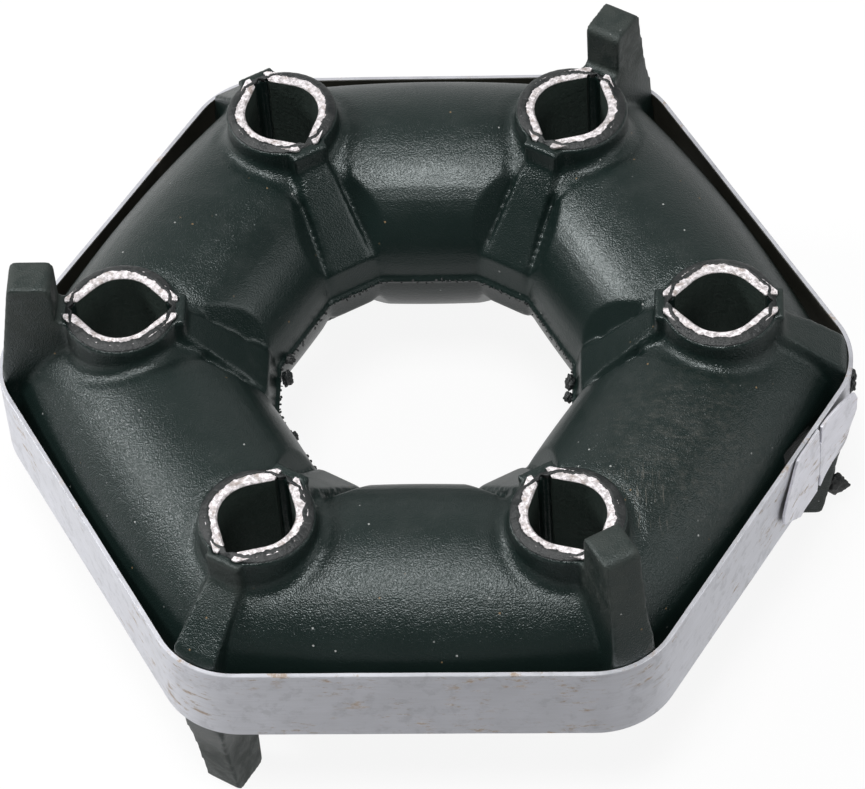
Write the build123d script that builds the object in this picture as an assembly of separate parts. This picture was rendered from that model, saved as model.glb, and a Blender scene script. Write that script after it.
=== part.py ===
from build123d import *

# Flexible disc coupling for a propeller shaft: a six-lobed rubber ring with split metal bolt
# sleeves bonded into it, held squeezed for fitting by a steel band that is closed with a crimped seal.
#
# Millimetres. The origin is the middle of the coupling, +Z is its axis of rotation, and sleeve 1 lies
# on +X with the others numbered anticlockwise. Lugs point down at odd sleeves and up at even ones.

import os
from math import acos, atan2, cos, radians, sin, tan

# Bolts and the split sleeves they pass through
sleeve_count = 6
bolt_circle_diameter = 96.0
bolt_diameter = 12.0
bolt_clearance = 0.1  # on the radius
sleeve_length = 45.0
sleeve_wall = 1.9
bore_point_reach = 8.4  # from the bolt's axis to the pointed end of the bore
sleeve_tip_reach = 9.1  # from the bolt's axis to the end of a half shell
sleeve_split = 2.6  # gap between the two half shells
sleeve_edge_break = 0.3

# Steel band
band_flat_to_flat = 124.0  # over the outside
band_thickness = 0.8
band_width = 16.2
band_corner_radius = 14.0  # outside
lap_start = 13.5  # inner end, tucked behind; all along its flat from the flat's middle
lap_end = 23.5  # outer end
lap_ramp = 3.0
lap_air = 0.05

# Seal crimped over the doubled band, placed along the same flat
seal_thickness = 0.6
seal_fold_start = 12.5  # folded over the band's edges from here
seal_fold_end = 24.0  # to here
seal_lip = 2.4  # height of the folded lips behind the band
seal_near_reach = 6.7  # blunt free wing, bent off the band a little
seal_near_flare = 0.5
seal_near_height = 4.8
seal_far_reach = 30.3  # leaf-shaped free wing
seal_far_flare = 1.0
seal_far_height = 7.0
seal_notch_at = 19.3
seal_notch_depth = 4.0
seal_notch_width = 1.6
seal_play = 0.06
seal_relief = 0.12  # air round the seal where it presses into the rubber

# Rubber lobes between the sleeves
lobe_radius = 18.8
lobe_end_radius = 17.6  # at the corner planes
lobe_squeeze = 0.1  # how far the band presses each lobe in
recess_radius = 11.8  # moat round each boss
recess_floor = 14.6  # height above the middle plane
recess_round = 1.6

# Rubber bosses round the sleeves, with ribs running in and out from them
boss_radius = 9.3
boss_drop = 0.3  # rubber face below the sleeve's end
boss_edge_round = 0.5
boss_foot_round = 1.5
rib_width = 6.2
rib_foot_width = 9.0  # at the middle plane
rib_inner_tab = 10.5  # from the bolt's axis to the flat inner end
rib_outer_tab = 10.2
rib_shoulder_height = 17.0
rib_foot_setback = 0.7  # how much further from the coupling's axis the ribs start than the lobes do
rib_foot_lean = 0.9
rib_foot_height = 5.0
rib_relief = 1.0  # how far the ribs stand out of the lobes' ends on the inner side
rib_relief_slope = 48.0  # of the valley beside each rib, in degrees
rib_toe_height = 9.6
rib_toe_back = 1.1  # from the inside of the band

# Lugs that locate the coupling, one to a corner
lug_height = 30.5
lug_tip_radius = 65.2  # from the coupling's axis
lug_tip_round = 1.4

# Moulding flash round the middle hole
flash_thickness = 0.5
flash_reach = 0.6
flash_root = 4.0  # how far it is carried into the rubber

# Worked out from the sizes above
pitch = 360.0 / sleeve_count
half_pitch = radians(pitch / 2)
bolt_circle_radius = bolt_circle_diameter / 2
bore_radius = bolt_diameter / 2 + bolt_clearance
half_length = sleeve_length / 2
boss_height = half_length - boss_drop
band_apothem = band_flat_to_flat / 2
inside_apothem = band_apothem - band_thickness
lobe_apothem = inside_apothem + lobe_squeeze - lobe_radius  # from the axis to a lobe's middle
hole_apothem = lobe_apothem - lobe_radius
rib_foot_radius = hole_apothem + rib_foot_setback  # at the middle plane
inside_corner_radius = band_corner_radius - band_thickness
corner_loss = 1 / cos(half_pitch) - 1
inside_corner_reach = inside_apothem / cos(half_pitch) - inside_corner_radius * corner_loss
band_edge = band_width / 2
lap_face = inside_apothem - lap_air - band_thickness
seal_front = band_apothem + seal_play
seal_back = lap_face - seal_play
seal_edge = band_edge + seal_play + seal_thickness
far = 2 * band_flat_to_flat


def around(shape, number):
    """A shape drawn on +X, turned to the given sleeve; halves are the flats between sleeves."""
    return Rot(0, 0, pitch * (number - 1)) * shape


def polygon(*points):
    return make_face(Polyline(*points, close=True))


def prism(face, half_height):
    return extrude(face, amount=half_height, both=True)


def pointed_circle(radius, reach):
    """A circle with straight flanks running out to a point at each side, along X."""
    touch = acos(radius / reach)
    x = radius * cos(touch)
    y = radius * sin(touch)
    lens = polygon((reach, 0), (x, y), (-x, y), (-reach, 0), (-x, -y), (x, -y))
    return lens + Circle(radius)


def hexagon(apothem, corner_radius):
    outline = RegularPolygon(apothem, sleeve_count, major_radius=False)
    return fillet(outline.vertices(), corner_radius)


def half_shells(number):
    """The two half shells of one sleeve in place, the anticlockwise one first."""
    bore = pointed_circle(bore_radius, bore_point_reach)
    outer_radius = bore_radius + sleeve_wall
    outer_reach = bore_point_reach * outer_radius / bore_radius
    outer = pointed_circle(outer_radius, outer_reach) & Rectangle(2 * sleeve_tip_reach, far)
    half = Pos(0, far / 2 + sleeve_split / 2) * Rectangle(far, far)
    shell = prism((outer - bore) & half, half_length)
    rims = shell.edges().filter_by(GeomType.CIRCLE)
    shell = chamfer(rims.filter_by(lambda e: e.radius < bore_radius + 0.01), sleeve_edge_break)
    left = Pos(bolt_circle_radius, 0, 0) * shell
    return around(left, number), around(mirror(left, Plane.XZ), number)


def sleeve_space():
    """Room in the rubber for the sleeve at sleeve 1 and for its bolt."""
    bore = prism(pointed_circle(bore_radius, bore_point_reach), far)
    return Pos(bolt_circle_radius, 0, 0) * bore


def lobe():
    """One rubber lobe on +X, a bar swollen in the middle and mitred on the corner planes."""
    corner = lobe_apothem * tan(half_pitch)
    swell = ThreePointArc(
        (lobe_apothem + lobe_end_radius, -corner),
        (lobe_apothem + lobe_radius, 0),
        (lobe_apothem + lobe_end_radius, corner),
    )
    centre = swell.arc_center
    disc = Pos(centre.X, centre.Y) * Circle(swell.radius)
    strip = Pos(lobe_apothem + far / 2, 0) * Rectangle(far, 2 * inside_apothem * tan(half_pitch))
    bar = revolve(disc & strip, Axis((lobe_apothem, 0, 0), (0, 1, 0)), 360)
    wedge = polygon((0, 0), (far, -far * tan(half_pitch)), (far, far * tan(half_pitch)))
    return bar & prism(wedge, far)


def boss():
    """Boss round one sleeve, on the bolt's axis."""
    foot = boss_radius + boss_foot_round
    section = polygon(
        (0, -boss_height),
        (boss_radius, -boss_height),
        (boss_radius, -recess_floor),
        (foot, -recess_floor),
        (foot, recess_floor),
        (boss_radius, recess_floor),
        (boss_radius, boss_height),
        (0, boss_height),
    )
    rims = [v for v in section.vertices() if v.X > 0.1 and abs(v.Y) > recess_floor + 0.1]
    section = fillet(rims, boss_edge_round)
    feet = [v for v in section.vertices() if abs(v.X - boss_radius) < 0.01]
    feet = [v for v in feet if abs(abs(v.Y) - recess_floor) < 0.01]
    section = fillet(feet, boss_foot_round * 0.95)
    return revolve(Plane.XZ * section, Axis.Z)


def recess():
    """Moat cut into the lobes round one boss, above the middle plane."""
    cutter = Pos(0, 0, recess_floor) * Cylinder(
        recess_radius, far / 8, align=(Align.CENTER, Align.CENTER, Align.MIN)
    )
    return fillet(cutter.edges().sort_by(Axis.Z)[0], recess_round)


def rib_side(lugged):
    """Outline of the upper half of a rib, seen from the side, with or without the lug."""
    inner_tab = bolt_circle_radius - rib_inner_tab
    outer_tab = bolt_circle_radius + rib_outer_tab
    slope = [
        (rib_foot_radius, -1),
        (rib_foot_radius + rib_foot_lean, rib_foot_height),
        (inner_tab, rib_shoulder_height),
        (inner_tab, boss_height),
    ]
    if lugged:
        top = [
            (outer_tab, boss_height),
            (outer_tab, lug_height),
            (lug_tip_radius, lug_height),
            (inside_corner_reach, band_edge),
        ]
        rounds = [(outer_tab, lug_height), (lug_tip_radius, lug_height)]
    else:
        top = [
            (outer_tab, boss_height),
            (outer_tab, rib_shoulder_height),
            (inside_corner_reach - rib_toe_back, rib_toe_height),
            (inside_corner_reach, band_edge),
        ]
        rounds = []
    outline = polygon(*slope, *top, (inside_corner_reach, -1))
    tips = [v for v in outline.vertices() if any(abs(v.X - x) + abs(v.Y - y) < 0.01 for x, y in rounds)]
    if tips:
        outline = fillet(tips, lug_tip_round)
    return outline


def rib(lugged):
    """Upper half of one rib on +X, as wide at the top as its lug and wider at the middle plane."""
    side = extrude(Plane.XZ * rib_side(lugged), amount=far / 8, both=True)
    top = rib_width / 2
    foot = rib_foot_width / 2
    front = polygon(
        (-foot, 0),
        (-top, rib_shoulder_height),
        (-top, lug_height),
        (top, lug_height),
        (top, rib_shoulder_height),
        (foot, 0),
    )
    return side & extrude(Plane.YZ * front, amount=far)


def valley():
    """Cutter that lowers the lobes' ends beside the inner half of one rib, above the middle plane."""
    inner_tab = bolt_circle_radius - rib_inner_tab
    lean = atan2(rib_shoulder_height - rib_foot_height, inner_tab - rib_foot_radius - rib_foot_lean)
    beside = (rib_width + rib_foot_width) / 4
    drop = (rib_relief + tan(radians(rib_relief_slope)) * beside) / cos(lean)
    above = polygon(
        (0, rib_foot_height - drop),
        (rib_foot_radius + rib_foot_lean, rib_foot_height - drop),
        (inner_tab, rib_shoulder_height - drop),
        (bolt_circle_radius, rib_shoulder_height - drop),
        (bolt_circle_radius, far / 4),
        (0, far / 4),
    )
    side = extrude(Plane.XZ * above, amount=-rib_width * 2, taper=rib_relief_slope)
    return side + mirror(side, Plane.XZ)


def flash():
    """Thin ridge left by the mould round the middle hole."""
    flats = RegularPolygon(hole_apothem - flash_reach, sleeve_count, major_radius=False)
    corners = RegularPolygon(rib_foot_radius - flash_reach, sleeve_count, major_radius=False)
    hole = flats & Rot(0, 0, pitch / 2) * corners
    return prism(Circle(rib_foot_radius + flash_root) - hole, flash_thickness / 2)


def rubber():
    """The whole rubber moulding."""
    body = Part() + [around(lobe(), n + 0.5) for n in range(1, sleeve_count + 1)]
    hollow = Pos(bolt_circle_radius, 0, 0) * recess() + valley()
    hollows = [around(hollow, n) for n in range(1, sleeve_count + 1)]
    body -= hollows
    body -= [mirror(h, Plane.XY) for h in hollows]
    up = rib(True)
    plain = rib(False)
    for n in range(1, sleeve_count + 1):
        above, below = (plain, up) if n % 2 else (up, plain)
        body += around(above, n)
        body += around(mirror(below, Plane.XY), n)
        body += around(Pos(bolt_circle_radius, 0, 0) * boss(), n)
    body &= prism(hexagon(inside_apothem, inside_corner_radius), far)
    body += flash()
    for n in range(1, sleeve_count + 1):
        body -= around(sleeve_space(), n)
        body -= list(half_shells(n))
    return body - seal_dent()


def on_seal_flat(shape):
    """A shape drawn on the flat facing +X, moved to the flat between sleeves 6 and 1."""
    return around(shape, 0.5)


def strip(points, thickness):
    """A strip of sheet seen on edge, its thickness lying outside a line of points."""
    outer = [(x + thickness, y) for x, y in points]
    return polygon(*points, *reversed(outer))


def tucked_end():
    """The band's inner end on the flat facing +X, from where it leaves the hexagon."""
    ramp = [(inside_apothem, lap_end + lap_ramp), (lap_face, lap_end), (lap_face, lap_start)]
    return strip(ramp, band_thickness)


def band():
    """The band, bent round the hexagon with its inner end tucked behind its outer end."""
    ring = hexagon(band_apothem, band_corner_radius)
    ring -= hexagon(inside_apothem, inside_corner_radius)
    gap = Pos(band_apothem, lap_end + lap_ramp / 2) * Rectangle(6 * band_thickness, lap_ramp)
    outline = ring - on_seal_flat(gap) + on_seal_flat(tucked_end())
    return prism(outline, band_edge)


def seal_outline():
    """The seal flattened, seen from outside: folded in the middle, with a free wing each way."""
    return polygon(
        (seal_fold_start, seal_edge),
        (seal_fold_end, seal_edge),
        (seal_far_reach - 1.5, seal_far_height),
        (seal_far_reach, 0),
        (seal_far_reach - 3.3, -seal_far_height),
        (seal_fold_end, -seal_edge),
        (seal_fold_start, -seal_edge),
        (seal_near_reach + 1, -seal_near_height),
        (seal_near_reach, 0),
    )


def seal():
    """Seal folded round the doubled band, notched at both edges, its wings bent outwards."""
    depth = seal_front - seal_back
    fold = Pos(seal_back + depth / 2, 0) * RectangleRounded(
        depth + 2 * seal_thickness, 2 * seal_edge, seal_thickness * 1.3
    )
    fold -= Pos(seal_back + depth / 2, 0) * Rectangle(depth, 2 * (seal_edge - seal_thickness))
    fold -= Pos(seal_back, 0) * Rectangle(3 * seal_thickness, 2 * (seal_edge - seal_thickness - seal_lip))
    body = extrude(Plane.XZ.offset(-seal_fold_start) * fold, amount=seal_fold_start - seal_fold_end)
    line = [
        (seal_front + seal_near_flare, seal_near_reach),
        (seal_front, seal_fold_start),
        (seal_front, seal_fold_end),
        (seal_front + seal_far_flare, seal_far_reach),
    ]
    plate = prism(strip(line, seal_thickness), seal_edge)
    plate &= extrude(Plane.YZ * seal_outline(), amount=far)
    middle = Pos(0, (seal_fold_start + seal_fold_end) / 2) * Box(far, seal_fold_end - seal_fold_start, far)
    notch = polygon(
        (seal_notch_at - seal_notch_width / 2, seal_edge + 1),
        (seal_notch_at, seal_edge - seal_notch_depth),
        (seal_notch_at + seal_notch_width / 2, seal_edge + 1),
    )
    cut = extrude(Plane.YZ * notch, amount=far)
    return on_seal_flat(body + (plate - middle) - cut - mirror(cut, Plane.XY))


def seal_dent():
    """Hollow that the seal's folded lips and the tucked end of the band press into the rubber."""
    start = seal_fold_start - seal_relief
    length = seal_fold_end + seal_relief - start
    face = seal_back - seal_thickness - seal_relief
    block = Box(far, length, 2 * (seal_edge + seal_relief), align=(Align.MIN, Align.MIN, Align.CENTER))
    return on_seal_flat(Pos(face, start) * block + prism(tucked_end(), band_edge))


def pieces():
    """Every separate piece of the coupling, by name."""
    found = {"rubber_body": rubber(), "retaining_band": band(), "band_seal": seal()}
    for n in range(1, sleeve_count + 1):
        left, right = half_shells(n)
        found[f"sleeve_{n}_left"] = left
        found[f"sleeve_{n}_right"] = right
    return found


os.makedirs("parts", exist_ok=True)
for name, piece in pieces().items():
    export_step(piece, f"parts/{name}.step")
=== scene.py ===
"""Flexible disc coupling: moulded rubber, split bolt sleeves and the galvanised fitting band."""
import math

import bmesh
import bpy
from mathutils import Matrix, Vector, noise


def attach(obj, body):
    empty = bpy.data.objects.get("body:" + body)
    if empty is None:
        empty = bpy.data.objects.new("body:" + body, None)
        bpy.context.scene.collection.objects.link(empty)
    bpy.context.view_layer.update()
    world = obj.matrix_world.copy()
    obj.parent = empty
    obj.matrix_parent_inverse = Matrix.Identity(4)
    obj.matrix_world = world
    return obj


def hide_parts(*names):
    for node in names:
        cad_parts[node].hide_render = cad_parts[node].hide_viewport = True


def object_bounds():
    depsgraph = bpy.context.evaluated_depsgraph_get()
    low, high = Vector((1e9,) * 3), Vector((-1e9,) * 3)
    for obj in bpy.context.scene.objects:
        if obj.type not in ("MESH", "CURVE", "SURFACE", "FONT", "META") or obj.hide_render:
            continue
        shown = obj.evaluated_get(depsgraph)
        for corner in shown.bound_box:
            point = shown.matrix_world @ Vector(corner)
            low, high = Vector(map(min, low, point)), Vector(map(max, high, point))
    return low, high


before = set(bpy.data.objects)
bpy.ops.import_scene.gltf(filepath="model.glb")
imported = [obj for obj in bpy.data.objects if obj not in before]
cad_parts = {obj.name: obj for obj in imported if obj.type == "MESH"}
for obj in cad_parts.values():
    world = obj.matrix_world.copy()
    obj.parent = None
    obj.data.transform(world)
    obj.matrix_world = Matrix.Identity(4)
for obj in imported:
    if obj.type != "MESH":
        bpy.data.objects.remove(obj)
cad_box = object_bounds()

MM = 0.001
SLEEVES = 6
PITCH = 2 * math.pi / SLEEVES

# Sizes and places on the coupling, in millimetres
BOLT_CIRCLE = 48.0  # radius
BORE = 6.1
BORE_POINT = 8.4  # from the bolt's axis to the bore's points
END = 22.5  # height of the sleeves' ends
BOSS = 9.15
FLASH_EDGE = 8.95  # outer edge of the flash on the sleeves' ends
LOBE_MIDDLE = 42.5
LOBE_RADIUS = 18.8
LOBE_FALL = 1.2  # how much thinner the lobes are at their ends
LOBE_HALF = 24.5
RIB_FOOT = 4.5  # half the ribs' width at the middle plane
RIB_TAPER = 1.4 / 17.0
RIB_EDGE = 1.6  # how far the easing of a rib's edges reaches
MOAT = 11.4
MOAT_SPREAD = 2.6
FLAT = 62.0  # half the width over the band's flats
BAND_EDGE = 8.1
BAND_THICK = 0.8
BAND_BEVEL = 0.12
CORNER = 14.0
SHEET_THICK = 0.5
HOLE_FLAT = 23.2  # to the middle hole's long sides
HOLE_CORNER = 23.9  # to its corners
SCUFFS = (43.0, -24.0, 17.0)
SCORES = (34.5, -35.0, 17.0)
SPECK_SPACING = 1.7

# Fineness of the meshes
VOXEL = 0.42
SOFTEN_ROUNDS = 3
EASE_ROUNDS = 26
BODY_TRIANGLES = 190000
RING_STEPS = 72
FLASH_STEPS = 260
CORNER_STEPS = 8
SIDE_STEPS = 12


# ---------------------------------------------------------------- shader maths


class Value:
    """A shader socket that can be used in arithmetic."""

    def __init__(self, paint, socket):
        self.paint = paint
        self.socket = socket

    def math(self, operation, *others):
        inputs = dict(enumerate((self, *others)))
        return self.paint.node("ShaderNodeMath", {"operation": operation}, inputs)

    def __add__(self, other):
        return self.math("ADD", other)

    __radd__ = __add__

    def __mul__(self, other):
        return self.math("MULTIPLY", other)

    __rmul__ = __mul__

    def __sub__(self, other):
        return self.math("SUBTRACT", other)

    def __rsub__(self, other):
        return (self * -1.0) + other

    def __pow__(self, other):
        return self.math("POWER", other)

    def larger(self, other):
        return self.math("MAXIMUM", other)

    def absolute(self):
        return self.math("ABSOLUTE")

    def rise(self, start, end):
        """0 up to start, 1 from end, smooth between; start may be the larger."""
        flip = start > end
        low, high = (end, start) if flip else (start, end)
        inputs = {"Value": self, "From Min": low, "From Max": high}
        inputs.update({"To Min": float(flip), "To Max": float(not flip)})
        return self.paint.node("ShaderNodeMapRange", {"interpolation_type": "SMOOTHSTEP"}, inputs)


class Nodes:
    """A node tree under construction."""

    def __init__(self, tree):
        tree.nodes.clear()
        self.tree = tree

    def node(self, kind, settings=None, inputs=None, output=0):
        """Adds a node, sets it, then fills its sockets with values or links."""
        made = self.tree.nodes.new(kind)
        for name, value in (settings or {}).items():
            setattr(made, name, value)
        for name, value in (inputs or {}).items():
            socket = made.inputs[name]
            if isinstance(value, Value):
                self.tree.links.new(value.socket, socket)
            else:
                socket.default_value = value
        return Value(self, made.outputs[output]) if made.outputs else None


class Paint(Nodes):
    """A material, or the world, under construction."""

    def __init__(self, owner):
        owner.use_nodes = True
        super().__init__(owner.node_tree)
        self.owner = owner

    def place(self):
        """Position on the coupling, in millimetres."""
        spot = self.node("ShaderNodeTexCoord", output="Object")
        return self.node("ShaderNodeVectorMath", {"operation": "SCALE"}, {0: spot, "Scale": 1000.0})

    def parts(self, vector):
        return [self.node("ShaderNodeSeparateXYZ", None, {0: vector}, output=n) for n in range(3)]

    def squeezed(self, vector, factors):
        return self.node("ShaderNodeVectorMath", {"operation": "MULTIPLY"}, {0: vector, 1: factors})

    def grain(self, vector, size, detail=3.0, rough=0.55):
        """Fractal noise from 0 to 1 whose lumps are about the given size in millimetres."""
        inputs = {"Vector": vector, "Scale": 1.0 / size, "Detail": detail, "Roughness": rough}
        return self.node("ShaderNodeTexNoise", None, inputs)

    def cells(self, vector, size, output="Distance"):
        """Distance to the nearest of many strewn points, or that point's own colour."""
        return self.node("ShaderNodeTexVoronoi", None, {"Vector": vector, "Scale": 1.0 / size}, output)

    def mix(self, amount, first, second):
        """Colour first, turning into second as amount goes from 0 to 1."""
        ends = [c if isinstance(c, Value) else (*c, 1.0) for c in (first, second)]
        inputs = {0: amount, 6: ends[0], 7: ends[1]}
        return self.node("ShaderNodeMix", {"data_type": "RGBA"}, inputs, output=2)

    def near(self, vector, centre, reach):
        """1 at a point, fading to 0 at the given distance in millimetres."""
        inputs = {0: vector, 1: centre}
        away = self.node("ShaderNodeVectorMath", {"operation": "DISTANCE"}, inputs, "Value")
        return away.rise(reach, reach * 0.25)

    def normal(self):
        """The surface's normal."""
        return self.node("ShaderNodeNewGeometry", output="Normal")

    def bump(self, height, depth):
        """Bump from a height of 0 to 1 that stands for a depth in millimetres."""
        inputs = {"Height": height, "Distance": depth * MM, "Strength": 1.0}
        return self.node("ShaderNodeBump", None, inputs)

    def surface(self, fixed=None, **varying):
        """Ends the material in a Principled shader."""
        inputs = {name.replace("_", " "): value for name, value in varying.items()}
        inputs.update(fixed or {})
        shader = self.node("ShaderNodeBsdfPrincipled", None, inputs)
        self.node("ShaderNodeOutputMaterial", None, {"Surface": shader})
        return self.owner


def moulded_rubber():
    """Black moulded rubber: satin, pitted, dusty on top, scuffed on one lobe, worn at the lugs."""
    paint = Paint(bpy.data.materials.new("moulded_rubber"))
    spot = paint.place()
    x, y, z = paint.parts(spot)
    out = (x * x + y * y) ** 0.5
    fine = paint.grain(spot, 0.24, 1.0, 0.5)
    pits = paint.grain(spot, 0.5, 1.0, 0.5)
    swell = paint.grain(spot, 6.0, 2.0)
    patch = paint.grain(spot, 14.0, 4.0)
    up = paint.parts(paint.normal())[2].rise(-0.1, 0.9)
    black = paint.mix(patch, (0.0040, 0.0100, 0.0086), (0.0082, 0.0160, 0.0144))

    lug = out.rise(56.5, 58.5) * z.absolute().rise(12.0, 21.0)
    worn = lug * (0.35 + 0.65 * paint.grain(spot, 3.0, 5.0, 0.7).rise(0.35, 0.65))
    aged = paint.mix(worn * 0.75, black, (0.027, 0.032, 0.028))
    film = (paint.grain(spot, 5.0, 5.0, 0.7) * up).rise(0.42, 0.85) * 0.16
    dusted = paint.mix(film, aged, (0.075, 0.080, 0.078))

    rubbed = paint.near(spot, SCUFFS, 20.0)
    smears = paint.grain(paint.squeezed(spot, (0.5, 1.0, 1.0)), 1.2, 8.0, 0.9).rise(0.44, 0.74)
    scuffed = paint.mix(rubbed * smears * 0.60, dusted, (0.082, 0.078, 0.068))
    scored = paint.near(spot, SCORES, 9.0)
    lines = paint.grain(paint.squeezed(spot, (1.0, 0.06, 0.2)), 0.22, 2.0).rise(0.60, 0.68)
    marked = paint.mix(scored * lines * 0.5, scuffed, (0.16, 0.15, 0.13))

    lot = paint.parts(paint.cells(spot, SPECK_SPACING, "Color"))
    speck = paint.cells(spot, SPECK_SPACING).rise(0.13, 0.07)
    white = speck * lot[0].rise(0.93, 0.95)
    tan = speck * lot[1].rise(0.955, 0.965)
    whitened = paint.mix(white * 0.7, marked, (0.42, 0.43, 0.42))
    flecked = paint.mix(tan * 0.7, whitened, (0.24, 0.15, 0.07))

    inward = 0.45 + 0.55 * out.rise(31.0, 37.0)
    height = (fine * 0.75 + pits * 0.30) * inward + swell * 0.4
    rough = (0.23 + patch * 0.16) + worn * 0.35 + film * 0.5
    rough = rough + rubbed * smears * 0.2 + (white + tan) * 0.3
    return paint.surface(
        {"Specular IOR Level": 0.5, "Specular Tint": (0.93, 1.0, 1.0, 1.0)},
        Base_Color=flecked,
        Roughness=rough,
        Normal=paint.bump(height, 0.14),
    )


def torn_rubber():
    """Rubber of the flash and torn scraps: thin, ragged and a little greyer."""
    paint = Paint(bpy.data.materials.new("torn_rubber"))
    spot = paint.place()
    lump = paint.grain(spot, 0.6, 4.0, 0.65)
    patch = paint.grain(spot, 2.5, 3.0)
    colour = paint.mix(patch.rise(0.35, 0.7), (0.0070, 0.0095, 0.0100), (0.026, 0.028, 0.028))
    rough = 0.36 + patch * 0.25
    return paint.surface(Base_Color=colour, Roughness=rough, Normal=paint.bump(lump, 0.2))


def galvanised(name, tone, rolling, rust):
    """Galvanised strip: rolled, scratched and streaked with rust outside, with painted shade on its
    inner side.
    """
    paint = Paint(bpy.data.materials.new(name))
    spot = paint.place()
    inputs = {0: paint.normal(), 1: spot}
    outward = paint.node("ShaderNodeVectorMath", {"operation": "DOT_PRODUCT"}, inputs, "Value")
    # Mask of the band's inner side, where shade is painted in below
    inner = outward.rise(-20.0, -40.0)
    rolled = paint.grain(paint.squeezed(spot, rolling), 0.45, 5.0)
    bloom = paint.grain(spot, 5.0, 5.0)
    dark, dull, pale, scored = (tuple(c * k for c in tone) for k in (0.60, 0.80, 1.14, 1.25))
    zinc = paint.mix(bloom * 0.6 + rolled * 0.4, dull, pale)
    brushed = paint.grain(paint.squeezed(spot, (0.06, 0.06, 1.0)), 0.5, 3.0, 0.6).rise(0.40, 0.62)
    zinc = paint.mix(brushed * bloom * 0.16, zinc, dark)
    stain = paint.grain(spot, 2.6, 5.0, 0.65).rise(0.50, 0.66)
    zinc = paint.mix(stain * 0.34, zinc, dark)
    lines = paint.grain(paint.squeezed(spot, (0.30, 0.30, 1.0)), 1.1, 5.0, 0.7).rise(0.54, 0.66)
    patches = paint.grain(spot, 11.0, 3.0).rise(0.47, 0.57)
    streaks = lines * patches * rust
    rusty = paint.mix(streaks * 0.75, zinc, (0.30, 0.19, 0.09))
    scratch = paint.grain(paint.squeezed(spot, (0.5, 0.5, 1.0)), 1.3, 4.0, 0.7).rise(0.68, 0.74) * 0.5
    marked = paint.mix(scratch, rusty, scored)
    # Painted shade: the inner side, facing the rubber, gets a near-black colour here and less metal
    # below
    inner_shade = paint.mix(bloom, (0.018, 0.018, 0.014), (0.050, 0.048, 0.036))
    colour = paint.mix(inner, marked, inner_shade)
    rough = 0.40 + bloom * 0.20 + rolled * 0.08 + streaks * 0.2
    bump = paint.bump(rolled * 0.5 + bloom * 0.5 - scratch * 0.3, 0.03)
    metal = 0.92 - streaks * 0.5 - inner * 0.5
    return paint.surface(Base_Color=colour, Metallic=metal, Roughness=rough, Normal=bump)


def cut_metal():
    """Sleeves: bright and torn on their cut ends, black and dull along their walls."""
    paint = Paint(bpy.data.materials.new("cut_metal"))
    spot = paint.place()
    height = paint.parts(spot)[2].absolute()
    end = height.rise(END - 0.5, END - 0.1)
    grit = paint.grain(spot, 0.8, 4.0, 0.7)
    blotch = paint.grain(spot, 1.3, 3.0)
    bright = paint.mix(grit.rise(0.36, 0.62), (0.44, 0.41, 0.41), (0.92, 0.87, 0.89))
    warm = paint.mix(blotch.rise(0.52, 0.72) * 0.65, bright, (0.30, 0.23, 0.19))
    drawn = paint.grain(paint.squeezed(spot, (1, 1, 0.12)), 0.8, 3.0)
    wall = paint.mix(drawn, (0.010, 0.022, 0.017), (0.030, 0.044, 0.037))
    colour = paint.mix(end, wall, warm)
    rough = 0.60 - end * 0.2 + grit * 0.2
    metal = 0.2 + end * 0.2
    bump = paint.bump(grit, 0.25)
    return paint.surface(Base_Color=colour, Metallic=metal, Roughness=rough, Normal=bump)


# ---------------------------------------------------------------- pieces

def finished(obj, material):
    """Gives a piece its finish, and fixes it to the coupling."""
    obj.data.materials.clear()
    obj.data.materials.append(material)
    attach(obj, "root")
    return obj


def new_piece(name, data):
    """An object of the scene that holds the given data."""
    obj = bpy.data.objects.new(name, data)
    bpy.context.scene.collection.objects.link(obj)
    return obj


def settled(obj):
    """A plain object holding what the modifiers of another make, which is removed."""
    ready = obj.evaluated_get(bpy.context.evaluated_depsgraph_get())
    mesh = bpy.data.meshes.new_from_object(ready)
    name = obj.name
    bpy.data.objects.remove(obj)
    mesh.name = name
    return new_piece(name, mesh)


def mesh_data(name, mesh):
    """Mesh data made from a bmesh, which is freed."""
    made = bpy.data.meshes.new(name)
    mesh.to_mesh(made)
    mesh.free()
    return made


def at_sleeve(number):
    """Turn that takes sleeve 1's place to that of another sleeve."""
    return Matrix.Rotation(PITCH * (number - 1), 3, "Z")


def on_flat(number, out, along):
    """Point beside a flat of the hexagon: its way out, and along from the flat's middle."""
    middle = PITCH * (number + 0.5)
    x = out * math.cos(middle) - along * math.sin(middle)
    y = out * math.sin(middle) + along * math.cos(middle)
    return x, y


def skinned(mesh, rings):
    """Faces between each ring of points and the next, the last joining the first."""
    for n, here in enumerate(rings):
        there = rings[(n + 1) % len(rings)]
        for k in range(len(here)):
            other = (k + 1) % len(here)
            mesh.faces.new((here[k], there[k], there[other], here[other]))
    bmesh.ops.recalc_face_normals(mesh, faces=mesh.faces)
    return mesh


def rib_cap(number, side):
    """Raised top of the rib that runs from one sleeve down to the middle hole."""
    mesh = bmesh.new()
    slope = ((24.8, 1.0), (25.3, 5.6), (36.8, 17.8), (37.7, 18.1), (37.7, 12.0), (28.0, 1.0))
    turn = at_sleeve(number)
    ends = []
    for way in (-1, 1):
        spots = [(out, way * (RIB_FOOT - RIB_TAPER * up), up * side) for out, up in slope]
        ends.append([mesh.verts.new(turn @ Vector(spot) * MM) for spot in spots])
    mesh.faces.new(ends[0])
    mesh.faces.new(ends[1])
    for n in range(len(slope)):
        after = (n + 1) % len(slope)
        mesh.faces.new((ends[0][n], ends[0][after], ends[1][after], ends[1][n]))
    bmesh.ops.recalc_face_normals(mesh, faces=mesh.faces)
    return mesh_data("rib_cap", mesh)


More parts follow.
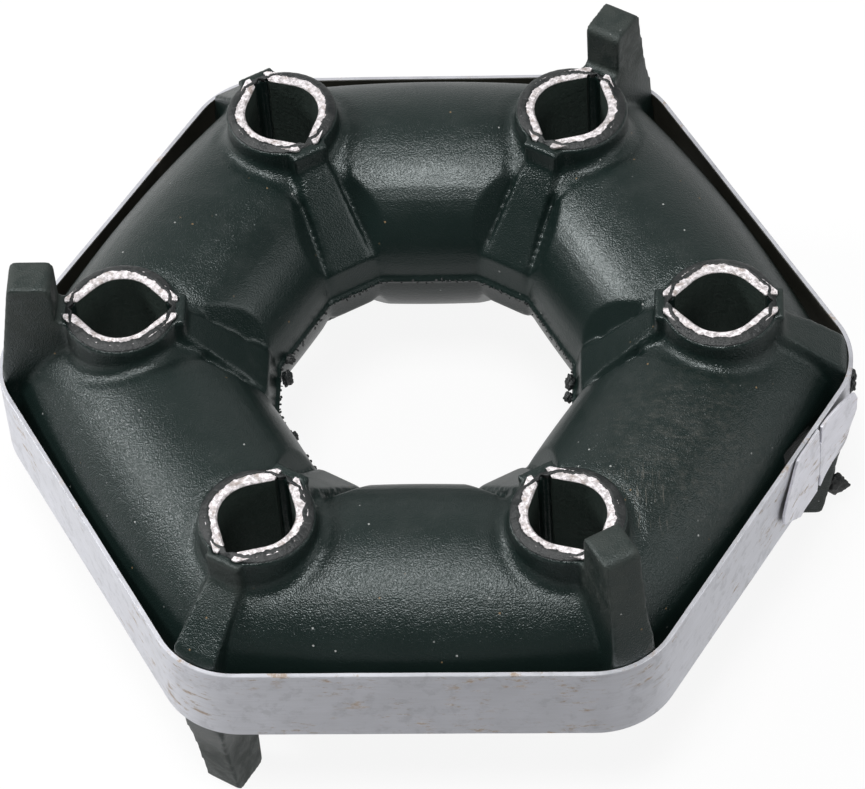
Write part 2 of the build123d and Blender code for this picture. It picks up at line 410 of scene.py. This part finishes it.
def lobe_height(x, y):
    """Height of the lobes' surface beside sleeve 1, above the middle plane."""
    across = x * math.cos(PITCH / 2) + abs(y) * math.sin(PITCH / 2) - LOBE_MIDDLE
    along = abs(y) * math.cos(PITCH / 2) - x * math.sin(PITCH / 2)
    radius = LOBE_RADIUS - LOBE_FALL * (along / LOBE_HALF) ** 2
    return math.sqrt(max(1.0, radius ** 2 - across ** 2))


def boss_foot(number, side):
    """Ring that eases the moat round one boss, from the boss out into the lobes."""
    mesh = bmesh.new()
    turn = at_sleeve(number)
    buried = 5.0
    reach_out = 13.2
    top = ((reach_out, -1.2), (12.4, -0.2), (11.2, -0.5), (10.1, -0.1), (BOSS, 1.0))
    rings = []
    for n in range(RING_STEPS):
        angle = 2 * math.pi * n / RING_STEPS
        spots = [(BOSS, buried), (reach_out, buried)]
        for reach, above in top:
            x, y = BOLT_CIRCLE + reach * math.cos(angle), reach * math.sin(angle)
            spots.append((reach, lobe_height(x, y) + above))
        ring = []
        for reach, up in spots:
            spot = Vector((BOLT_CIRCLE + reach * math.cos(angle), reach * math.sin(angle), up * side))
            ring.append(mesh.verts.new(turn @ spot * MM))
        rings.append(ring)
    return mesh_data("boss_foot", skinned(mesh, rings))


def ease_weight(spot):
    """How strongly the moulding is eased at a point: in the moats and along the inner ribs' edges."""
    turned = math.atan2(spot.y, spot.x) / PITCH
    turned = (turned - round(turned)) * PITCH
    out = spot.xy.length
    ahead, aside = out * math.cos(turned), out * math.sin(turned)
    height = abs(spot.z)
    away = math.hypot(ahead - BOLT_CIRCLE, aside)
    moat = 1 - abs(away - MOAT) / MOAT_SPREAD
    if moat > 0 and 10 < height < 21:
        return moat
    edge = abs(aside) - (RIB_FOOT - RIB_TAPER * height)
    if 24.5 < ahead < 37.0 and abs(edge) < RIB_EDGE and 2.5 < height < 17:
        return 0.3 * (1 - abs(edge) / RIB_EDGE)
    return 0.0


def soft_moulding():
    """The rubber body with moulded, softened edges."""
    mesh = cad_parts["rubber_body"].data.copy()
    join = bmesh.new()
    join.from_mesh(mesh)
    bmesh.ops.remove_doubles(join, verts=join.verts, dist=1e-6)
    for number in range(1, SLEEVES + 1):
        for side in (1, -1):
            for added in (rib_cap(number, side), boss_foot(number, side)):
                join.from_mesh(added)
                bpy.data.meshes.remove(added)
    join.to_mesh(mesh)
    join.free()
    obj = new_piece("moulded_body", mesh)
    remesh = obj.modifiers.new("skin", "REMESH")
    remesh.mode = "VOXEL"
    remesh.voxel_size = VOXEL * MM
    soften = obj.modifiers.new("soften", "SMOOTH")
    soften.factor = 0.5
    soften.iterations = SOFTEN_ROUNDS
    obj = settled(obj)
    eased = obj.vertex_groups.new(name="eased")
    for vert in obj.data.vertices:
        weight = ease_weight(vert.co / MM)
        if weight > 0:
            eased.add([vert.index], weight, "REPLACE")
    ease = obj.modifiers.new("ease", "SMOOTH")
    ease.vertex_group = "eased"
    ease.factor = 0.6
    ease.iterations = EASE_ROUNDS
    thin = obj.modifiers.new("thin", "DECIMATE")
    thin.ratio = min(1.0, BODY_TRIANGLES / (2 * len(obj.data.polygons)))
    obj = settled(obj)
    obj.data.shade_smooth()
    return obj


def wobble(*where):
    """Smooth noise from -1 to 1."""
    return noise.noise(Vector(where))


def bore_reach(angle):
    """Distance from a bolt's axis to the bore's wall, which runs to a point at angles 0 and pi."""
    x, y = abs(math.cos(angle)), abs(math.sin(angle))
    flank = math.asin(BORE / BORE_POINT)
    if math.atan2(y, x) > math.pi / 2 - flank:
        return BORE
    return BORE / (x * math.sin(flank) + y * math.cos(flank))


def sleeve_flash(number, side, steps=8):
    """Skin of rubber crept over the outer part of one sleeve's end, with a ragged inner edge."""
    mesh = bmesh.new()
    seed = number * 7.3 + side * 3.1
    turn = at_sleeve(number)
    rings = []
    for i in range(FLASH_STEPS):
        angle = 2 * math.pi * i / FLASH_STEPS
        x, y = math.cos(angle), math.sin(angle)
        slow = wobble(x * 1.2, y * 1.2, seed)
        quick = wobble(x * 5.5, y * 5.5, seed + 9)
        tooth = wobble(x * 21, y * 21, seed + 20)
        seen = 1.30 + 0.55 * slow + 0.33 * quick + 0.22 * tooth
        point = abs(math.sin(angle)) * 9.0
        seen *= min(1.0, max(0.0, (point - 0.9) / 2.2))
        wall = bore_reach(angle)
        inner = wall + max(0.02, min(1.75, seen))
        outer = max(inner + 0.5, FLASH_EDGE)
        lip = 0.22 + 0.12 * quick + 0.08 * tooth
        column = []
        for k in range(steps + 1):
            share = k / steps
            reach = inner + (outer - inner) * share
            rise = lip * min(1.0, share * 6) ** 0.5 * (1 - share) - 0.38 * share ** 2
            rise += 0.05 * wobble(x * reach * 1.6, y * reach * 1.6, seed + 3)
            column.append((reach, END + rise))
        column.append((outer, END - 0.7))
        column.append((inner, END - 0.12 if inner > wall + 0.1 else END - 0.7))
        ring = []
        for reach, height in column:
            spot = Vector((BOLT_CIRCLE + reach * x, reach * y, height * side))
            ring.append(mesh.verts.new(turn @ spot * MM))
        rings.append(ring)
    return skinned(mesh, rings)


# Outlines of the band's two hooked ends: along their flat from its middle, and up
TAIL = (
    (6.7, -0.8), (7.6, 1.5), (9.5, 4.1), (11.7, BAND_EDGE), (18.8, BAND_EDGE), (18.9, 3.9), (19.22, 3.7),
    (19.22, -4.4), (18.9, -4.7), (18.8, -BAND_EDGE), (15.2, -BAND_EDGE), (13.2, -8.7), (10.8, -6.5),
    (6.9, -3.0),
)
LEAF = (
    (19.30, 3.7), (19.55, 3.9), (19.65, 7.9), (25.0, 7.9), (28.9, 7.1), (29.6, 5.2), (29.4, 2.5),
    (27.4, -2.2), (23.4, -5.2), (19.65, -7.8), (19.55, -4.7), (19.30, -4.4),
)


def sheet(outline, lift, step=0.8):
    """Bent steel cut to an outline on the flat between sleeves 6 and 1; lift is its way off the band."""
    mesh = bmesh.new()
    mesh.faces.new([mesh.verts.new((along, up, 0.0)) for along, up in outline])
    bmesh.ops.triangulate(mesh, faces=mesh.faces[:])
    for axis in (0, 1):
        spread = [corner[axis] for corner in outline]
        for n in range(1, int((max(spread) - min(spread)) / step) + 1):
            cut = Vector((0, 0, 0))
            way = Vector((0, 0, 0))
            cut[axis] = min(spread) + n * step
            way[axis] = 1.0
            everything = mesh.verts[:] + mesh.edges[:] + mesh.faces[:]
            bmesh.ops.bisect_plane(mesh, geom=everything, dist=1e-4, plane_co=cut, plane_no=way)
    bmesh.ops.solidify(mesh, geom=mesh.faces[:], thickness=SHEET_THICK)
    bmesh.ops.recalc_face_normals(mesh, faces=mesh.faces)
    rims = [e for e in mesh.edges if len(e.link_faces) == 2 and e.calc_face_angle() > 1.0]
    bmesh.ops.bevel(mesh, geom=rims, offset=0.09, segments=2, affect="EDGES", profile=0.5)
    inner = min(v.co.z for v in mesh.verts)
    turn = Matrix.Rotation(-PITCH / 2, 3, "Z")
    for vert in mesh.verts:
        along, up, depth = vert.co
        wave = 0.10 * wobble(along * 0.35, up * 0.3, 4.0)
        out = FLAT + lift(along, up) + wave + depth - inner
        vert.co = turn @ Vector((out, along, up)) * MM
    bmesh.ops.recalc_face_normals(mesh, faces=mesh.faces)
    return mesh


def band_line(inset):
    """Points round the band's hexagon, at a distance inside its outer face."""
    spots = []
    radius = CORNER - inset
    centre = (FLAT - CORNER) / math.cos(PITCH / 2)
    length = (FLAT - CORNER) * math.tan(PITCH / 2)
    for n in range(SLEEVES):
        corner = PITCH * n
        for k in range(-CORNER_STEPS, CORNER_STEPS + 1):
            way = corner + PITCH / 2 * k / CORNER_STEPS
            x = centre * math.cos(corner) + radius * math.cos(way)
            y = centre * math.sin(corner) + radius * math.sin(way)
            spots.append((x, y))
        for k in range(1, 2 * SIDE_STEPS):
            spots.append(on_flat(n, FLAT - inset, length * (k / SIDE_STEPS - 1)))
    return spots


def band():
    """The band, one strip with slightly wavy edges."""
    mesh = bmesh.new()
    level = (-1.0, -0.985, -0.6, -0.2, 0.2, 0.6, 0.985, 1.0)
    section = [(BAND_BEVEL, level[0])] + [(0.0, up) for up in level[1:-1]] + [(BAND_BEVEL, level[-1])]
    section += [(BAND_THICK - BAND_BEVEL, level[-1])]
    section += [(BAND_THICK, up) for up in reversed(level[1:-1])]
    section += [(BAND_THICK - BAND_BEVEL, level[0])]
    rings = []
    for inset, up in section:
        ring = []
        for x, y in band_line(inset):
            wave = 0.10 * wobble(x * 0.08, y * 0.08, 2.0) * (1 if up > 0 else -1)
            height = up * (BAND_EDGE - 0.1) + wave * abs(up)
            ring.append(mesh.verts.new(Vector((x, y, height)) * MM))
        rings.append(ring)
    return skinned(mesh, rings)


def joined(name, meshes):
    """One smooth object from several bmeshes."""
    whole = bmesh.new()
    for part in meshes:
        made = mesh_data("part", part)
        whole.from_mesh(made)
        bpy.data.meshes.remove(made)
    mesh = mesh_data(name, whole)
    mesh.shade_smooth()
    return new_piece(name, mesh)


def scrap(centre, size, seed, raggedness=0.35):
    """A torn lump of rubber, in millimetres."""
    mesh = bmesh.new()
    bmesh.ops.create_icosphere(mesh, subdivisions=4, radius=1.0)
    for vert in mesh.verts:
        way = vert.co.copy()
        swell = 1 + raggedness * wobble(*(way * 1.7 + Vector((seed, 0, 0))))
        swell += raggedness * 0.6 * wobble(*(way * 4.5 + Vector((0, seed, 0))))
        spot = Vector((way.x * size[0], way.y * size[1], way.z * size[2])) * swell
        vert.co = (Vector(centre) + spot) * MM
    return mesh


def crumb_tree(material):
    """Geometry nodes that strew crumbs of flash along a line."""
    tree = bpy.data.node_groups.new("flash_crumbs", "GeometryNodeTree")
    face = tree.interface
    face.new_socket("Geometry", in_out="INPUT", socket_type="NodeSocketGeometry")
    for name, value in (("Spacing", 0.001), ("Crumb size", 0.0004)):
        face.new_socket(name, in_out="INPUT", socket_type="NodeSocketFloat").default_value = value
    face.new_socket("Seed", in_out="INPUT", socket_type="NodeSocketInt").default_value = 3
    face.new_socket("Geometry", in_out="OUTPUT", socket_type="NodeSocketGeometry")
    group = Nodes(tree)

    def given(name):
        return group.node("NodeGroupInput", output=name)

    def chance(low, high):
        """A random vector for each crumb, between two corners."""
        inputs = {0: low, 1: high, "Seed": given("Seed")}
        return group.node("FunctionNodeRandomValue", {"data_type": "FLOAT_VECTOR"}, inputs)

    sizes = chance((0.35, 0.35, 0.30), (1.5, 1.3, 0.9))
    turns = chance((0.0, 0.0, 0.0), (6.28, 6.28, 6.28))
    shift = chance((-0.3 * MM,) * 3, (0.3 * MM,) * 3)
    line = group.node("GeometryNodeMeshToCurve", None, {"Mesh": given("Geometry")})
    inputs = {"Curve": line, "Length": given("Spacing")}
    points = group.node("GeometryNodeCurveToPoints", {"mode": "LENGTH"}, inputs, "Points")
    shifted = group.node("GeometryNodeSetPosition", None, {"Geometry": points, "Offset": shift})
    inputs = {"Subdivisions": 2, "Radius": given("Crumb size")}
    crumb = group.node("GeometryNodeMeshIcoSphere", None, inputs, "Mesh")
    inputs = {"Points": shifted, "Instance": crumb, "Rotation": turns, "Scale": sizes}
    strewn = group.node("GeometryNodeInstanceOnPoints", None, inputs)
    real = group.node("GeometryNodeRealizeInstances", None, {"Geometry": strewn})
    coated = group.node("GeometryNodeSetMaterial", None, {"Geometry": real, "Material": material})
    group.node("NodeGroupOutput", None, {"Geometry": coated})
    return tree


def hole_outline():
    """Corners of the middle hole: six long sides at the flats and six short ones at the ribs."""
    half = (HOLE_CORNER - HOLE_FLAT * math.cos(PITCH / 2)) / math.sin(PITCH / 2)
    return [on_flat(n, HOLE_FLAT, along) for n in range(SLEEVES) for along in (-half, half)]


def flash_crumbs(material):
    """Crumbs of flash along the mould line of the middle hole."""
    mesh = bpy.data.meshes.new("hole_crumbs")
    spots = [(x * MM, y * MM, 0.0) for x, y in hole_outline()]
    count = len(spots)
    mesh.from_pydata(spots, [(i, (i + 1) % count) for i in range(count)], [])
    obj = new_piece("hole_crumbs", mesh)
    tree = crumb_tree(material)
    modifier = obj.modifiers.new("crumbs", "NODES")
    modifier.node_group = tree
    wanted = {"Spacing": 0.8 * MM, "Crumb size": 0.28 * MM, "Seed": 11}
    for item in tree.interface.items_tree:
        if item.in_out == "INPUT" and item.name in wanted:
            modifier[item.identifier] = wanted[item.name]
    obj = settled(obj)
    obj.data.shade_smooth()
    return obj


rubber = moulded_rubber()
torn = torn_rubber()
band_steel = galvanised("galvanised_band", (0.76, 0.767, 0.815), rolling=(0.10, 0.10, 1.0), rust=1.0)
end_steel = galvanised("galvanised_ends", (0.92, 0.92, 0.98), rolling=(0.3, 0.3, 1.0), rust=0.8)
sleeve_metal = cut_metal()

body = soft_moulding()
finished(body, rubber)
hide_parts("rubber_body")

skins = [sleeve_flash(n, side) for n in range(1, SLEEVES + 1) for side in (1, -1)]
finished(joined("sleeve_flash", skins), torn)
finished(flash_crumbs(torn), torn)

formed_band = joined("formed_band", [band()])
finished(formed_band, band_steel)
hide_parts("retaining_band")
hooked_ends = joined(
    "hooked_ends",
    [
        sheet(TAIL, lambda along, up: 0.16 + 0.5 * max(0.0, (12.5 - along) / 6.0) ** 1.5),
        sheet(LEAF, lambda along, up: 0.22 + 1.1 * max(0.0, (along - 20.5) / 9.0) ** 1.6),
    ],
)
finished(hooked_ends, end_steel)
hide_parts("band_seal")
for sheet_piece in (formed_band, hooked_ends):
    sheet_piece.data.set_sharp_from_angle(angle=math.radians(28))

scraps = [
    scrap((-22.9, 2.8, 0.0), (0.9, 1.0, 1.6), 1.0),
    scrap((-22.6, 6.6, 0.2), (0.8, 0.9, 0.7), 2.0),
    scrap((-21.3, -9.3, 0.0), (0.8, 0.8, 0.8), 3.0),
    scrap((23.6, 1.2, 0.2), (0.8, 1.3, 1.3), 4.0),
    scrap((23.3, -1.3, -0.4), (0.7, 0.8, 1.0), 5.0),
    scrap((69.1, -2.6, 4.2), (0.8, 1.1, 1.9), 6.0, 0.4),
    scrap((69.3, -2.2, 6.0), (0.6, 1.0, 0.9), 7.0, 0.4),
    scrap((67.2, -1.2, -24.6), (2.0, 0.8, 2.3), 8.0, 0.4),
    scrap((65.0, -0.4, -20.5), (2.2, 2.0, 8.6), 9.0, 0.22),
]
finished(joined("torn_scraps", scraps), torn)

for name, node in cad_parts.items():
    if name.startswith("sleeve"):
        node.data.materials.clear()
        node.data.materials.append(sleeve_metal)


# ---------------------------------------------------------------- floor, lights and camera


BLACK = (0.0, 0.0, 0.0)
WHITE = (1.0, 1.0, 1.0)


def floor():
    """Pale floor, nearly white to the camera but for the shadow, and dimmer in front in the metal."""
    lowest = cad_box[0].z
    bpy.ops.mesh.primitive_plane_add(size=6.0, location=(0, 0, lowest))
    plane = bpy.context.object
    plane.name = "floor"
    paint = Paint(bpy.data.materials.new("pale_floor"))
    camera_rays = paint.node("ShaderNodeLightPath", output="Is Camera Ray")
    glossy_rays = paint.node("ShaderNodeLightPath", output="Is Glossy Ray")
    x, y = paint.parts(paint.place())[:2]
    mirrored = 0.68 + 0.32 * x.rise(0.0, -85.0) - 0.32 * y.rise(-50.0, -80.0)
    seen = (camera_rays * 0.90).larger(glossy_rays)
    shade = paint.mix(camera_rays.larger(mirrored), BLACK, WHITE)
    lit = paint.node("ShaderNodeBsdfDiffuse", None, {"Color": (0.80, 0.80, 0.80, 1)})
    glow = paint.node("ShaderNodeEmission", None, {"Color": shade, "Strength": 1.0})
    shown = paint.node("ShaderNodeMixShader", None, {0: seen, 1: lit, 2: glow})
    paint.node("ShaderNodeOutputMaterial", None, {"Surface": shown})
    plane.data.materials.append(paint.owner)


def direction(azimuth, elevation):
    """Unit vector from the coupling: azimuth counts to the right from the front, both in degrees."""
    a, e = math.radians(azimuth), math.radians(elevation)
    return Vector((math.sin(a) * math.cos(e), -math.cos(a) * math.cos(e), math.sin(e)))


def lamp(name, azimuth, elevation, distance, size, power):
    """A softbox aimed at the coupling."""
    data = bpy.data.lights.new(name, "AREA")
    data.shape = "RECTANGLE"
    data.size, data.size_y = size
    data.energy = power
    obj = new_piece(name, data)
    away = direction(azimuth, elevation)
    obj.location = away * distance
    obj.rotation_mode = "QUATERNION"
    obj.rotation_quaternion = away.to_track_quat("Z", "Y")


def backdrop():
    """White where the camera looks past the coupling, and a dimmer room around it, darkest in front."""
    paint = Paint(bpy.data.worlds.new("studio"))
    back = paint.parts(paint.node("ShaderNodeTexCoord", output="Generated"))[1]
    inputs = {"Value": back, "From Min": 0.1, "From Max": 1.0, "To Min": 0.06, "To Max": 0.66}
    shade = paint.mix(paint.node("ShaderNodeMapRange", None, inputs), BLACK, WHITE)
    room = paint.node("ShaderNodeBackground", None, {"Color": shade, "Strength": 1.0})
    white = paint.node("ShaderNodeBackground", None, {"Color": (*WHITE, 1.0), "Strength": 1.0})
    camera_rays = paint.node("ShaderNodeLightPath", output="Is Camera Ray")
    shown = paint.node("ShaderNodeMixShader", None, {0: camera_rays, 1: room, 2: white})
    paint.node("ShaderNodeOutputWorld", None, {"Surface": shown})
    bpy.context.scene.world = paint.owner


def camera():
    """Long lens from above the front, rolled a little."""
    azimuth, elevation, roll = 5.10, 51.87, math.radians(4.53)
    distance = 0.73225
    away = direction(azimuth, elevation)
    level = direction(azimuth + 90.0, 0.0)
    upright = away.cross(level)
    right = math.cos(roll) * level - math.sin(roll) * upright
    top = math.sin(roll) * level + math.cos(roll) * upright
    data = bpy.data.cameras.new("camera")
    data.sensor_width = 36.0
    data.lens = 186.2
    data.shift_x = 0.00749
    data.shift_y = -0.00442
    obj = new_piece("camera", data)
    turn = Matrix((right, top, away)).transposed().to_4x4()
    obj.matrix_world = Matrix.Translation(away * distance) @ turn
    bpy.context.scene.camera = obj


floor()
backdrop()
lamp("window", azimuth=-100, elevation=38, distance=1.0, size=(0.24, 0.24), power=6)
lamp("overhead", azimuth=-8, elevation=74, distance=1.1, size=(0.40, 0.34), power=11)
lamp("far_side", azimuth=75, elevation=25, distance=1.2, size=(0.7, 0.5), power=3)
camera()
bpy.context.scene.view_settings.view_transform = "Standard"
